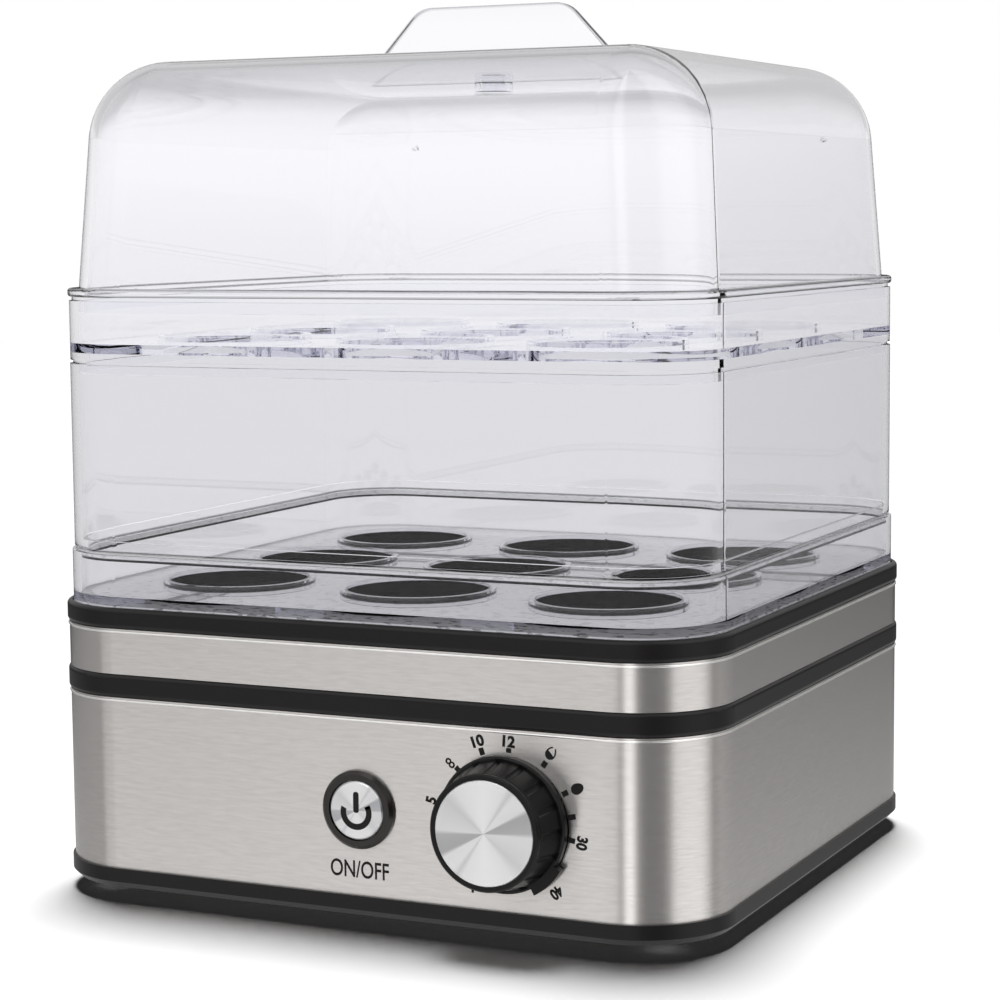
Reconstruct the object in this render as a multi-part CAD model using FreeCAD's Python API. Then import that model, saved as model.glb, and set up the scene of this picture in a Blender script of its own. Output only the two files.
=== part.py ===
import FreeCAD, Part
import math
import os

# A table-top egg boiler with two clear egg trays stacked under a clear lid.
# All lengths are millimetres. The front faces -Y, +X is to the right, and +Z is up.
# The origin is on the surface that the boiler stands on, under the middle of the body.

os.makedirs("parts", exist_ok=True)

# Body outline seen from above, at the outside of the steel
body_width = 178.0
body_depth = 171.5
body_corner_radius = 23.0

# Heights of the base, from the table upwards
foot_height = 3.5
base_rim_height = 5.0
lower_sleeve_height = 43.2
middle_ring_height = 5.9
upper_band_height = 11.3
top_ring_height = 5.2

# Clear stack, each height counted from the seat that carries the piece
tray_seat_depth = 2.8
tray_height = 15.7
spacer_height = 46.8
lid_height = 59.2
handle_height = 15.3

# Walls and how far the outer faces stand in or out from the body outline
steel_thickness = 0.7
ring_proud = 0.45
base_proud = 0.6
ring_edge_round = 1.1
base_edge_round = 1.6
ring_wall_inset = 0.9
moulded_wall = 2.0
clear_wall = 2.0
spacer_inset = 1.8
upper_tray_inset = 1.9
lid_flange_inset = 1.6

# Clearances between pieces
nest_gap = 0.3
snug_gap = 0.1
running_gap = 0.05

# How far the forms of one solid reach into each other, and how far a cutting form runs past a face
join_depth = 0.5
cut_past = 1.0

# Distance within which two places count as the same
touch = 0.01

# Degrees that a corner of the body outline turns through
quarter_turn = 90

# Base plate, its feet and its screws
base_floor = 2.2
base_lip_height = 3.0
base_lip_wall = 1.6
base_rib_wall = 1.6
base_rib_height = 3.0
base_rib_rows = (-46.0, 34.0)
vent_length = 26.0
vent_width = 3.0
vent_pitch = 9.0
vent_count = 7
foot_radius = 7.0
foot_stem_radius = 2.9
foot_barb_radius = 3.8
foot_barb_height = 1.5
foot_edge_bevel = 0.8
foot_inset_x = 27.0
foot_inset_y = 27.0
screw_radius = 1.45
screw_head_radius = 2.8
screw_head_height = 2.0
body_screw_length = 15.0
body_screw_inset = 13.5
screw_post_radius = 4.5
screw_post_split = 12.0
screw_sink_depth = 4.0

# Rings and the pan shelf of the top housing
ring_lip_height = 3.0
ring_inner_inset = 3.2
shelf_drop = 3.7
shelf_thickness = 2.0
seal_thickness = 0.8

# Heating pan and what hangs under it
pan_flange_inset = 8.0
pan_dish_inset = 13.0
pan_sheet = 1.0
pan_depth = 10.5
pan_bottom_round = 5.0
pan_corner_radius = 24.0
stud_radius = 1.5
stud_length = 8.0
stud_inset = 9.9
nut_across_corners = 5.8
nut_height = 2.4
heat_plate_radius = 60.0
heat_plate_thickness = 2.5
element_tube_radius = 3.3
element_loop_radius = 45.0
element_gap_angle = 40.0
element_bend_radius = 7.0
element_leg_length = 6.0
bead_radius = 4.4
bead_length = 5.0
thermostat_radius = 8.0
thermostat_height = 9.0
thermostat_cap_radius = 6.5
thermostat_cap_height = 3.0
blade_width = 4.8
blade_thickness = 0.8
blade_length = 7.0
fuse_radius = 2.0
fuse_length = 12.0
fuse_lead_radius = 0.5
fuse_lead_length = 8.0
fuse_row = 22.0
clamp_strip_width = 6.0
clamp_strip_wall = 0.8
clamp_foot_length = 5.0

# Front controls
control_height = 29.5
knob_from_right = 47.9
button_from_knob = 38.1
bracket_sheet = 1.2
bracket_setback = 3.0
bracket_margin = 10.5
bracket_foot_depth = 12.0
bracket_post_height = 3.5
bracket_post_radius = 4.0
bracket_screw_length = 6.5
bracket_screw_margin = 5.0
bracket_top_gap = 4.5
bracket_relief_gap = 1.0

# Timer behind the knob
timer_width = 38.0
timer_depth = 24.0
timer_edge_round = 3.0
timer_neck_radius = 5.0
timer_bore_depth = 14.0
timer_shaft_radius = 3.0
timer_shaft_flat = 2.3
timer_shaft_hole_gap = 1.0
timer_shaft_end_gap = 0.5
bell_radius = 14.0
bell_crown_radius = 9.0
bell_height = 6.0
bell_wall = 1.0
bell_post_radius = 3.0
bell_post_height = 2.0

# Knob
knob_gap = 0.5
knob_height = 11.3
knob_skirt_radius = 16.2
knob_skirt_thickness = 1.9
knob_skirt_bevel = 0.5
knob_foot_radius = 15.2
knob_face_radius = 13.8
knob_rim_height = 1.3
knob_rim_width = 1.3
knob_rim_bevel = 0.4
knob_groove_depth = 0.4
knob_wall = 1.8
knob_boss_radius = 5.4
knob_flute_count = 16
knob_flute_radius = 1.2
knob_flute_depth = 0.35
knob_cap_thickness = 0.85
knob_cap_recess = 0.8
knob_cap_bevel = 0.25
knob_pointer_reach = 17.8
knob_pointer_angle = 136.5
knob_pointer_spread = 30.0
knob_bore_gap = 0.02
knob_shaft_tip_gap = 1.0

# Power button
bezel_radius = 9.5
bezel_proud = 1.5
bezel_edge_bevel = 0.8
bezel_neck_radius = 8.6
button_radius = 7.1
button_proud = 1.6
button_depth = 2.7
button_edge_bevel = 0.4
button_stem_radius = 2.5
button_stem_length = 6.2
button_travel = 1.8
switch_width = 15.0
switch_height = 14.0
switch_depth = 19.0

# Power inlet at the back and the terminal block near it
inlet_from_left = 37.0
inlet_height = 21.0
inlet_bore_radius = 3.6
inlet_neck_radius = 5.6
inlet_flange_radius = 8.5
inlet_flange_thickness = 2.2
inlet_clip_radius = 7.5
inlet_clip_thickness = 3.0
inlet_edge_bevel = 0.8
block_width = 30.0
block_depth = 17.0
block_height = 13.0
block_from_left = 69.0
block_from_back = 27.75
block_pole_count = 3
block_screw_radius = 1.9
block_screw_setback = 4.8
block_slot_width = 1.2
block_slot_depth = 5.2

# Clear trays
seat_step_height = 1.0
seat_step_inset = 0.7
tray_floor_rise = 2.8
tray_floor_thickness = 2.4
tray_lip_depth = 2.2
lip_wall = 1.6
egg_hole_radius = 18.0
egg_column_pitch = 51.6
egg_row_pitch = 46.6
egg_columns = 3
egg_rows = 3
collar_wall = 1.6
collar_height = 1.2

# Spacer between the trays
spacer_lip_depth = 1.7
spacer_foot_height = 3.0

# Lid and its handle
lid_flange_thickness = 2.1
lid_lip_depth = 2.8
lid_draft = 3.75
lid_round = 21.0
lid_flange_round = 0.8
handle_thickness = 3.0
handle_foot_width = 71.2
handle_top_width = 42.4
handle_shoulder_round = 8.0
handle_edge_round = 0.8
handle_peg_radius = 3.0
handle_washer_radius = 5.0
handle_washer_height = 4.0
handle_washer_floor = 1.0

# Levels that follow from the heights
base_bottom = foot_height
base_floor_top = base_bottom + base_floor
sleeve_bottom = base_bottom + base_rim_height
sleeve_top = sleeve_bottom + lower_sleeve_height
band_bottom = sleeve_top + middle_ring_height
band_top = band_bottom + upper_band_height
ring_top = band_top + top_ring_height
lower_tray_seat = ring_top - tray_seat_depth
spacer_seat = lower_tray_seat + tray_height
upper_tray_seat = spacer_seat + spacer_height
lid_seat = upper_tray_seat + tray_height
lid_flange_bottom = lid_seat + seat_step_height
lid_flange_top = lid_flange_bottom + lid_flange_thickness
lid_top = lid_seat + lid_height
handle_top = lid_top + handle_height
shelf_top = band_top - shelf_drop
shelf_bottom = shelf_top - shelf_thickness
pan_flange_bottom = shelf_top + seal_thickness
pan_flange_top = pan_flange_bottom + pan_sheet
pan_underside = pan_flange_bottom - pan_depth
heat_plate_bottom = pan_underside - heat_plate_thickness

# Insets that follow from the walls and gaps
liner_inset = steel_thickness + snug_gap
lower_tray_inset = ring_wall_inset + nest_gap
stack_opening_inset = spacer_inset + clear_wall
tray_lip_inset = stack_opening_inset + nest_gap
spacer_lip_inset = lower_tray_inset + clear_wall + nest_gap
lid_lip_inset = upper_tray_inset + clear_wall + nest_gap
lid_inner_inset = lid_lip_inset + lip_wall
lid_wall_inset = lid_inner_inset - clear_wall

# Planes of the front and back of the steel, and what is placed from the sides
front_face = -body_depth / 2
back_face = body_depth / 2
bracket_front = front_face + bracket_setback
bracket_back = bracket_front + bracket_sheet
knob_x = body_width / 2 - knob_from_right
button_x = knob_x - button_from_knob
inlet_x = inlet_from_left - body_width / 2
block_x = block_from_left - body_width / 2
block_y = back_face - block_from_back

UP = FreeCAD.Vector(0, 0, 1)
TOWARDS_FRONT = FreeCAD.Vector(0, -1, 0)
TOWARDS_BACK = FreeCAD.Vector(0, 1, 0)


def point(x, y, z):
    return FreeCAD.Vector(x, y, z)


def rounded_rectangle(half_x, half_y, radius, z):
    """Closed wire of a rectangle with round corners, level at height z."""
    arcs = []
    for index, (side_x, side_y) in enumerate(((1, 1), (-1, 1), (-1, -1), (1, -1))):
        centre = point(side_x * (half_x - radius), side_y * (half_y - radius), z)
        start = index * quarter_turn
        arcs.append(Part.makeCircle(radius, centre, UP, start, start + quarter_turn))
    edges = []
    for index, arc in enumerate(arcs):
        following = arcs[(index + 1) % len(arcs)]
        edges.append(arc)
        edges.append(Part.makeLine(arc.lastVertex().Point, following.firstVertex().Point))
    return Part.Wire(Part.__sortEdges__(edges))


def outline(inset, z, radius=None):
    """The body outline, moved inwards by inset and drawn at height z."""
    corner = radius or body_corner_radius - inset
    return rounded_rectangle(body_width / 2 - inset, body_depth / 2 - inset, corner, z)


def slab(inset, bottom, top, radius=None):
    """Solid with the body outline moved inwards by inset."""
    return Part.Face(outline(inset, bottom, radius)).extrude(UP * (top - bottom))


def band(outer_inset, inner_inset, bottom, top, inner_radius=None):
    """Ring that follows the body outline between two insets."""
    opening = slab(inner_inset, bottom - cut_past, top + cut_past, inner_radius)
    return slab(outer_inset, bottom, top).cut(opening)


def box_between(x0, x1, y0, y1, z0, z1):
    return Part.makeBox(x1 - x0, y1 - y0, z1 - z0, point(x0, y0, z0))


def upright(x, y, radius, bottom, top):
    return Part.makeCylinder(radius, top - bottom, point(x, y, bottom), UP)


def forward_rod(x, z, radius, y_back, y_front):
    """Round bar along Y, from its rear end to its front end."""
    return Part.makeCylinder(radius, y_back - y_front, point(x, y_back, z), TOWARDS_FRONT)


def fused(pieces):
    return pieces[0].multiFuse(pieces[1:]).removeSplitter()


def four_corners(x, y):
    return [(side_x * x, side_y * y) for side_x in (1, -1) for side_y in (1, -1)]


def inset_of(place):
    """How far inside the body outline a place lies, seen from above."""
    over_x = abs(place.x) - (body_width / 2 - body_corner_radius)
    over_y = abs(place.y) - (body_depth / 2 - body_corner_radius)
    outside = math.hypot(max(over_x, 0), max(over_y, 0)) + min(max(over_x, over_y), 0)
    return body_corner_radius - outside


def middle_of(edge):
    return edge.valueAt((edge.FirstParameter + edge.LastParameter) / 2)


def outline_edges(shape, inset, z):
    """Edges of a shape that run round the body outline at one inset and height."""
    found = []
    for edge in shape.Edges:
        middle = middle_of(edge)
        level = edge.BoundBox.ZLength < touch and abs(middle.z - z) < touch
        if level and abs(inset_of(middle) - inset) < touch:
            found.append(edge)
    return found


def level_edges(shape, z):
    """Every edge of a shape that lies level at one height."""
    return [edge for edge in shape.Edges
            if edge.BoundBox.ZLength < touch and abs(edge.BoundBox.ZMin - z) < touch]


def bevel_front(rod, y, reach):
    """Bevel the round edge that a bar along Y has in the plane at y."""
    found = [edge for edge in rod.Edges
             if edge.BoundBox.YLength < touch and abs(edge.BoundBox.YMin - y) < touch]
    return rod.makeChamfer(reach, found)


def save(shape, node):
    solids = shape.Solids
    result = solids[0] if len(solids) == 1 else Part.makeCompound(solids)
    result.exportStep("parts/" + node + ".step")


# Base plate: black moulded floor with a rim that the steel stands on and a lip inside the steel
screw_places = four_corners(body_width / 2 - body_screw_inset, body_depth / 2 - body_screw_inset)
foot_places = four_corners(body_width / 2 - foot_inset_x, body_depth / 2 - foot_inset_y)


def make_base_plate():
    rim = slab(-base_proud, base_bottom, sleeve_bottom)
    rim = rim.makeChamfer(base_edge_round, outline_edges(rim, -base_proud, base_bottom))
    lip = band(liner_inset, liner_inset + base_lip_wall, sleeve_bottom, sleeve_bottom + base_lip_height)
    inside = slab(liner_inset + base_lip_wall, base_floor_top, sleeve_bottom + cut_past)
    plate = rim.cut(inside).fuse(lip)
    additions = []
    cuts = []
    rib_reach = body_width / 2 - liner_inset - base_lip_wall
    for row in base_rib_rows:
        additions.append(box_between(-rib_reach, rib_reach, row - base_rib_wall / 2,
                                     row + base_rib_wall / 2, base_floor_top - join_depth,
                                     base_floor_top + base_rib_height))
    for x, y in screw_places:
        additions.append(upright(x, y, screw_post_radius, base_floor_top - join_depth, screw_post_split))
        cuts.append(upright(x, y, screw_radius + nest_gap, base_bottom, screw_post_split + cut_past))
        cuts.append(upright(x, y, screw_head_radius + nest_gap, base_bottom - cut_past,
                            base_bottom + screw_sink_depth))
    for x, y in foot_places:
        cuts.append(upright(x, y, foot_stem_radius + snug_gap, base_bottom - cut_past,
                            base_floor_top + cut_past))
    for x in bracket_screw_x:
        additions.append(upright(x, bracket_screw_y, bracket_post_radius, base_floor_top - join_depth,
                                 bracket_foot_bottom))
        cuts.append(upright(x, bracket_screw_y, screw_radius + running_gap,
                            bracket_foot_top - bracket_screw_length, bracket_foot_bottom + cut_past))
    for index in range(vent_count):
        x = (index - (vent_count - 1) / 2) * vent_pitch
        cuts.append(box_between(x - vent_width / 2, x + vent_width / 2, -vent_length / 2,
                                vent_length / 2, base_bottom - cut_past, base_floor_top + cut_past))
    return plate.multiFuse(additions).removeSplitter().cut(Part.makeCompound(cuts))


def make_feet():
    feet = []
    for x, y in foot_places:
        pad = upright(x, y, foot_radius, 0, base_bottom)
        pad = pad.makeChamfer(foot_edge_bevel, level_edges(pad, 0))
        stem = upright(x, y, foot_stem_radius, base_bottom - join_depth, base_floor_top + join_depth)
        barb = upright(x, y, foot_barb_radius, base_floor_top, base_floor_top + foot_barb_height)
        feet.append(fused([pad, stem, barb]))
    return Part.makeCompound(feet)


def make_base_screws():
    screws = []
    seat = base_bottom + screw_sink_depth
    for x, y in screw_places:
        head = upright(x, y, screw_head_radius, seat - screw_head_height, seat)
        shank = upright(x, y, screw_radius, seat - join_depth, seat + body_screw_length)
        screws.append(fused([head, shank]))
    return Part.makeCompound(screws)


# Steel: a tall sleeve with the control holes and a low band above the middle ring
def make_lower_steel_sleeve():
    sleeve = band(0, steel_thickness, sleeve_bottom, sleeve_top)
    holes = [
        forward_rod(button_x, control_height, bezel_neck_radius + snug_gap,
                    front_face + steel_thickness + cut_past, front_face - cut_past),
        forward_rod(knob_x, control_height, timer_shaft_radius + timer_shaft_hole_gap,
                    front_face + steel_thickness + cut_past, front_face - cut_past),
        forward_rod(inlet_x, inlet_height, inlet_neck_radius + snug_gap, back_face + cut_past,
                    back_face - steel_thickness - cut_past),
    ]
    return sleeve.cut(Part.makeCompound(holes))


def make_middle_ring():
    ring = band(-ring_proud, ring_inner_inset, sleeve_top, band_bottom)
    edges = outline_edges(ring, -ring_proud, sleeve_top) + outline_edges(ring, -ring_proud, band_bottom)
    ring = ring.makeFillet(ring_edge_round, edges)
    lip = band(liner_inset, liner_inset + moulded_wall, sleeve_top - ring_lip_height,
               sleeve_top + join_depth)
    return fused([ring, lip])


def make_top_housing():
    ring = band(-ring_proud, stack_opening_inset, band_top, ring_top)
    edges = outline_edges(ring, -ring_proud, band_top) + outline_edges(ring, -ring_proud, ring_top)
    ring = ring.makeFillet(ring_edge_round, edges)
    ring = ring.cut(slab(ring_wall_inset, lower_tray_seat, ring_top + cut_past))
    skirt = band(liner_inset, liner_inset + moulded_wall, band_bottom, band_top + join_depth)
    shelf = band(liner_inset + join_depth, pan_dish_inset - nest_gap, shelf_bottom, shelf_top,
                 pan_corner_radius + nest_gap)
    posts = []
    cuts = []
    for x, y in screw_places:
        posts.append(upright(x, y, screw_post_radius, screw_post_split, shelf_bottom + join_depth))
        cuts.append(upright(x, y, screw_radius + running_gap, screw_post_split - cut_past,
                            base_bottom + screw_sink_depth + body_screw_length + cut_past))
    for x, y in stud_places:
        cuts.append(upright(x, y, stud_radius + nest_gap, shelf_bottom - cut_past, shelf_top + cut_past))
    return fused([ring, skirt, shelf] + posts).cut(Part.makeCompound(cuts))


# Heating pan: coated dish whose flange is drawn down on a seal by four welded studs
stud_places = (
    (0, front_face + stud_inset),
    (0, back_face - stud_inset),
    (body_width / 2 - stud_inset, 0),
    (stud_inset - body_width / 2, 0),
)


def make_heating_pan():
    outside = slab(pan_dish_inset, pan_underside, pan_flange_top, pan_corner_radius)
    outside = outside.makeFillet(pan_bottom_round, level_edges(outside, pan_underside))
    inner_inset = pan_dish_inset + pan_sheet
    inner_floor = pan_underside + pan_sheet
    inner_radius = pan_corner_radius - pan_sheet
    inside = slab(inner_inset, inner_floor, pan_flange_top + cut_past, inner_radius)
    inside = inside.makeFillet(pan_bottom_round - pan_sheet, level_edges(inside, inner_floor))
    flange = band(pan_flange_inset, inner_inset, pan_flange_bottom, pan_flange_top, inner_radius)
    studs = [upright(x, y, stud_radius, pan_flange_bottom - stud_length, pan_flange_bottom + join_depth)
             for x, y in stud_places]
    return fused([outside.cut(inside), flange] + studs)


def make_pan_seal():
    seal = band(pan_flange_inset, pan_dish_inset - nest_gap, shelf_top, pan_flange_bottom,
                pan_corner_radius + nest_gap)
    holes = [upright(x, y, stud_radius + snug_gap, shelf_top - cut_past, pan_flange_bottom + cut_past)
             for x, y in stud_places]
    return seal.cut(Part.makeCompound(holes))


def make_pan_nuts():
    nuts = []
    for x, y in stud_places:
        corners = [point(x + nut_across_corners / 2 * math.cos(math.radians(60 * turn)),
                         y + nut_across_corners / 2 * math.sin(math.radians(60 * turn)),
                         shelf_bottom - nut_height) for turn in range(7)]
        nut = Part.Face(Part.makePolygon(corners)).extrude(UP * nut_height)
        nuts.append(nut.cut(upright(x, y, stud_radius + running_gap, shelf_bottom - nut_height - cut_past,
                                    shelf_bottom + cut_past)))
    return Part.makeCompound(nuts)


def make_heat_plate():
    return upright(0, 0, heat_plate_radius, heat_plate_bottom, pan_underside)


# Tubular element: one open loop brazed under the plate, with both cold ends turned down at the back
element_centre_z = heat_plate_bottom - element_tube_radius
element_leg_top = element_centre_z - element_bend_radius
element_leg_bottom = element_leg_top - element_leg_length


def element_end(side):
    """Place where the loop ends, and the level direction in which its tube runs on."""
    angle = math.radians(90 - side * element_gap_angle / 2)
    place = point(element_loop_radius * math.cos(angle), element_loop_radius * math.sin(angle),
                  element_centre_z)
    return place, point(-side * math.sin(angle), side * math.cos(angle), 0)


def element_leg_place(side):
    place, heading = element_end(side)
    return place + heading * element_bend_radius


def make_heating_element():
    start, heading = element_end(-1)
    ring = Part.Face(Part.Wire(Part.makeCircle(element_tube_radius, start, heading)))
    loop = ring.revolve(point(0, 0, 0), UP, 360 - element_gap_angle)
    pieces = [loop]
    for side in (1, -1):
        end, heading = element_end(side)
        face = Part.Face(Part.Wire(Part.makeCircle(element_tube_radius, end, heading)))
        hinge = point(-heading.y, heading.x, 0)
        pieces.append(face.revolve(end - UP * element_bend_radius, hinge, 90))
        leg = element_leg_place(side)
        pieces.append(upright(leg.x, leg.y, element_tube_radius, element_leg_bottom, element_leg_top))
    return fused(pieces)


def make_element_terminals():
    """Ceramic bead and connector blade on the cold end of each leg."""
    terminals = []
    for side in (1, -1):
        leg = element_leg_place(side)
        bead = upright(leg.x, leg.y, bead_radius, element_leg_bottom - bead_length, element_leg_bottom)
        blade_top = element_leg_bottom - bead_length
        blade = box_between(leg.x - blade_width / 2, leg.x + blade_width / 2, leg.y - blade_thickness / 2,
                            leg.y + blade_thickness / 2, blade_top - blade_length, blade_top + join_depth)
        terminals.append(fused([bead, blade]))
    return Part.makeCompound(terminals)


def make_thermostat():
    cap_bottom = heat_plate_bottom - thermostat_cap_height
    body_bottom = heat_plate_bottom - thermostat_height
    pieces = [
        upright(0, 0, thermostat_cap_radius, cap_bottom - join_depth, heat_plate_bottom),
        upright(0, 0, thermostat_radius, body_bottom, cap_bottom),
    ]
    for side in (1, -1):
        x = side * thermostat_radius / 2
        pieces.append(box_between(x - blade_thickness / 2, x + blade_thickness / 2, -blade_width / 2,
                                  blade_width / 2, body_bottom - blade_length, body_bottom + join_depth))
    return fused(pieces)


def make_thermal_fuse():
    """Small one-shot fuse with a wire out of each end, lying along X under the plate."""
    z = heat_plate_bottom - fuse_radius
    along = point(1, 0, 0)
    barrel = Part.makeCylinder(fuse_radius, fuse_length, point(-fuse_length / 2, fuse_row, z), along)
    whole = fuse_length + 2 * fuse_lead_length
    leads = Part.makeCylinder(fuse_lead_radius, whole, point(-whole / 2, fuse_row, z), along)
    return fused([barrel, leads])


def make_fuse_clamp():
    """Sheet strap that holds the fuse up against the plate."""
    z = heat_plate_bottom - fuse_radius
    start = point(-clamp_strip_width / 2, fuse_row, z)
    along = point(1, 0, 0)
    bore_radius = fuse_radius + running_gap
    arch = Part.makeCylinder(bore_radius + clamp_strip_wall, clamp_strip_width, start, along)
    reach = bore_radius + clamp_foot_length
    feet = box_between(-clamp_strip_width / 2, clamp_strip_width / 2, fuse_row - reach, fuse_row + reach,
                       heat_plate_bottom - clamp_strip_wall, heat_plate_bottom)
    bore = Part.makeCylinder(bore_radius, clamp_strip_width, start, along)
    throat = box_between(-clamp_strip_width, clamp_strip_width, fuse_row - bore_radius,
                         fuse_row + bore_radius, z, heat_plate_bottom + cut_past)
    strap = fused([arch, feet]).cut(bore).cut(throat)
    above = box_between(-reach, reach, fuse_row - reach, fuse_row + reach, heat_plate_bottom,
                        heat_plate_bottom + reach)
    return strap.cut(above)


# Control bracket: folded sheet behind the front steel that carries the timer and the switch
bracket_foot_bottom = base_floor_top + bracket_post_height
bracket_foot_top = bracket_foot_bottom + bracket_sheet
bracket_screw_y = bracket_back + bracket_foot_depth / 2
bracket_top = sleeve_top - ring_lip_height - bracket_top_gap
bracket_left = button_x - switch_width / 2 - bracket_margin
bracket_right = knob_x + timer_width / 2 + bracket_margin
bracket_screw_x = (bracket_left + bracket_screw_margin, (button_x + knob_x - timer_width / 2) / 2,
                   bracket_right - bracket_screw_margin)


def make_control_bracket():
    upstand = box_between(bracket_left, bracket_right, bracket_front, bracket_back,
                          bracket_foot_bottom, bracket_top)
    foot = box_between(bracket_left, bracket_right, bracket_front, bracket_back + bracket_foot_depth,
                       bracket_foot_bottom, bracket_foot_top)
    relief_half = timer_width / 2 + bracket_relief_gap
    relief = box_between(knob_x - relief_half, knob_x + relief_half, bracket_back,
                         bracket_back + bracket_foot_depth + cut_past, bracket_foot_bottom - cut_past,
                         bracket_foot_top + cut_past)
    holes = [
        forward_rod(button_x, control_height, button_stem_radius + nest_gap, bracket_back + cut_past,
                    bracket_front - cut_past),
        forward_rod(knob_x, control_height, timer_neck_radius + snug_gap, bracket_back + cut_past,
                    bracket_front - cut_past),
    ]
    for x in bracket_screw_x:
        holes.append(upright(x, bracket_screw_y, screw_radius + snug_gap,
                             bracket_foot_bottom - cut_past, bracket_foot_top + cut_past))
    return fused([upstand, foot]).cut(relief).cut(Part.makeCompound(holes))


def make_bracket_screws():
    screws = []
    for x in bracket_screw_x:
        head = upright(x, bracket_screw_y, screw_head_radius, bracket_foot_top,
                       bracket_foot_top + screw_head_height)
        shank = upright(x, bracket_screw_y, screw_radius, bracket_foot_top - bracket_screw_length,
                        bracket_foot_top + join_depth)
        screws.append(fused([head, shank]))
    return Part.makeCompound(screws)


def make_timer_case():
    half = timer_width / 2
    back = bracket_back + timer_depth
    case = box_between(knob_x - half, knob_x + half, bracket_back, back, control_height - half,
                       control_height + half)
    long_edges = [edge for edge in case.Edges if edge.BoundBox.YLength > timer_depth / 2]
    case = case.makeFillet(timer_edge_round, long_edges)
    neck = forward_rod(knob_x, control_height, timer_neck_radius, bracket_back + join_depth,
                       front_face + steel_thickness)
    pieces = [case, neck, forward_rod(knob_x, control_height, bell_post_radius, back + bell_post_height,
                                      back - join_depth)]
    for side in (1, -1):
        x = knob_x + side * (half - timer_edge_round - blade_width / 2)
        z = control_height - half + timer_edge_round
        pieces.append(box_between(x - blade_width / 2, x + blade_width / 2, back - join_depth,
                                  back + blade_length, z, z + blade_thickness))
    bore = forward_rod(knob_x, control_height, timer_shaft_radius + running_gap,
                       bracket_back + timer_bore_depth, front_face)
    return fused(pieces).cut(bore)


def make_timer_bell():
    """Shallow steel gong pushed on a post behind the timer."""
    rim = bracket_back + timer_depth + bell_post_height
    crown = rim + bell_height
    start = point(knob_x, rim, control_height)
    outside = Part.makeCone(bell_radius, bell_crown_radius, bell_height, start, TOWARDS_BACK)
    inside = Part.makeCone(bell_radius - bell_wall, bell_crown_radius - bell_wall,
                           bell_height - bell_wall, start, TOWARDS_BACK)
    stem = forward_rod(knob_x, control_height, bell_post_radius, crown - bell_wall / 2, rim)
    return fused([outside.cut(inside), stem])


# Power button: black bezel in the steel, a metal-faced cap that slides in it, and the switch
def make_power_button_bezel():
    flange = forward_rod(button_x, control_height, bezel_radius, front_face, front_face - bezel_proud)
    flange = bevel_front(flange, front_face - bezel_proud, bezel_edge_bevel)
    neck = forward_rod(button_x, control_height, bezel_neck_radius, bracket_front, front_face - join_depth)
    bore = forward_rod(button_x, control_height, button_radius + nest_gap, bracket_front + cut_past,
                       front_face - bezel_proud - cut_past)
    return fused([flange, neck]).cut(bore)


def make_power_button():
    face = front_face - button_proud
    cap = forward_rod(button_x, control_height, button_radius, face + button_depth, face)
    cap = bevel_front(cap, face, button_edge_bevel)
    stem = forward_rod(button_x, control_height, button_stem_radius,
                       face + button_depth + button_stem_length, face + button_depth - join_depth)
    return fused([cap, stem])


def make_push_switch():
    body = box_between(button_x - switch_width / 2, button_x + switch_width / 2, bracket_back,
                       bracket_back + switch_depth, control_height - switch_height / 2,
                       control_height + switch_height / 2)
    stem_end = front_face - button_proud + button_depth + button_stem_length
    bore = forward_rod(button_x, control_height, button_stem_radius + nest_gap,
                       stem_end + button_travel + nest_gap, bracket_back - cut_past)
    pieces = [body]
    for side in (1, -1):
        x = button_x + side * switch_width / 4
        pieces.append(box_between(x - blade_thickness / 2, x + blade_thickness / 2,
                                  bracket_back + switch_depth - join_depth,
                                  bracket_back + switch_depth + blade_length,
                                  control_height - blade_width / 2, control_height + blade_width / 2))
    return fused(pieces).cut(bore)


# Knob: hollow moulding with a skirt, a pointer on the skirt, shallow flutes and a spun metal face
knob_back = front_face - knob_gap


def knob_turned(stations, sweep=360):
    """Solid turned clockwise round the knob axis from (radius, distance in front of the steel) pairs."""
    corners = [point(knob_x + radius, front_face - reach, control_height) for radius, reach in stations]
    face = Part.Face(Part.makePolygon(corners + corners[:1]))
    return face.revolve(point(knob_x, 0, control_height), TOWARDS_BACK, sweep)


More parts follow.
